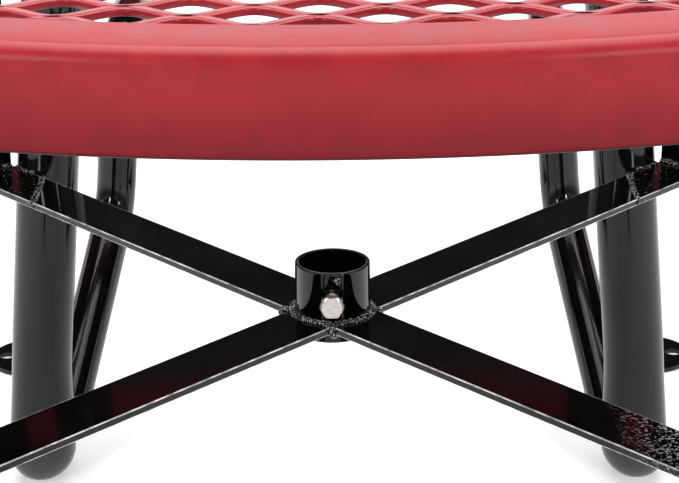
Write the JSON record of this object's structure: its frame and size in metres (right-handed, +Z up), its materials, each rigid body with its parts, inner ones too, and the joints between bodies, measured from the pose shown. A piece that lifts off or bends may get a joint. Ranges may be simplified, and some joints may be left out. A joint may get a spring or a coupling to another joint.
{
  "type": "outdoor table with benches",
  "caption": "Round expanded-metal outdoor table with curved benches on a tube frame, cross-braced, with a collar and clamp screw for an umbrella pole.",
  "frame": {"origin": "on the ground, under the table's centre", "axes": "+Z up, +Y towards the rear bench; the clamp screw is on the -Y side"},
  "size_m": [1.4402, 2.11, 0.736],
  "materials": {
    "red_coating": "satin plastic dip coating",
    "black_powder_coat": "gloss powder coat",
    "bare_zinc": "bright zinc",
    "cap_plastic": "fine grain",
    "pad_nylon": "satin"
  },
  "bodies": {
    "table": {"top_rim": "red_coating", "top_mesh": "red_coating", "umbrella_ring": "red_coating", "top_beam_rear": "red_coating", "top_beam_front": "red_coating", "top_tie_left": "red_coating", "top_tie_right": "red_coating", "bench_rim_rear": "red_coating", "bench_rim_front": "red_coating", "bench_mesh_rear": "red_coating", "bench_mesh_front": "red_coating", "leg_rear_right": "black_powder_coat", "leg_rear_left": "black_powder_coat", "leg_front_right": "black_powder_coat", "leg_front_left": "black_powder_coat", "leg_plate_rear_right": "black_powder_coat", "leg_plate_rear_left": "black_powder_coat", "leg_plate_front_right": "black_powder_coat", "leg_plate_front_left": "black_powder_coat", "seat_tube_rear_right": "black_powder_coat", "seat_tube_rear_left": "black_powder_coat", "seat_tube_front_right": "black_powder_coat", "seat_tube_front_left": "black_powder_coat", "foot_rail_rear_right": "black_powder_coat", "foot_rail_rear_left": "black_powder_coat", "foot_rail_front_right": "black_powder_coat", "foot_rail_front_left": "black_powder_coat", "anchor_foot_rear_right": "black_powder_coat", "anchor_foot_rear_left": "black_powder_coat", "anchor_foot_front_right": "black_powder_coat", "anchor_foot_front_left": "black_powder_coat", "arm_rear_right": "black_powder_coat", "arm_rear_left": "black_powder_coat", "arm_front_right": "black_powder_coat", "arm_front_left": "black_powder_coat", "arm_end_rear_right": "black_powder_coat", "arm_end_rear_left": "black_powder_coat", "arm_end_front_right": "black_powder_coat", "arm_end_front_left": "black_powder_coat", "splice_strap_rear_right": "black_powder_coat", "splice_strap_rear_left": "black_powder_coat", "splice_strap_front_right": "black_powder_coat", "splice_strap_front_left": "black_powder_coat", "hanger_rear_right": "black_powder_coat", "hanger_rear_left": "black_powder_coat", "hanger_front_right": "black_powder_coat", "hanger_front_left": "black_powder_coat", "bench_riser_rear_right": "black_powder_coat", "bench_riser_rear_left": "black_powder_coat", "bench_riser_front_right": "black_powder_coat", "bench_riser_front_left": "black_powder_coat", "collar": "black_powder_coat", "weld_nut": "black_powder_coat", "leg_studs": "bare_zinc", "leg_nuts": "bare_zinc", "rail_caps": "cap_plastic", "seat_tube_caps": "cap_plastic"},
    "pad": {"clamp_pad": "pad_nylon"},
    "bolt": {"clamp_bolt": "bare_zinc"}
  },
  "joints": [
    {"name": "clamp_slide", "type": "slide", "parent": "table", "child": "pad", "axis": [0, 1, 0], "range_m": [-0.006, 0.012]},
    {"name": "clamp_turn", "type": "hinge", "parent": "pad", "child": "bolt", "pos_m": [0, -0.0516, 0.36], "axis": [0, 1, 0], "range_deg": [-1441, 2881]}
  ],
  "couplings": [
    {"joint": "clamp_turn", "follows": "clamp_slide", "rad_per_m": 4188.8}
  ]
}
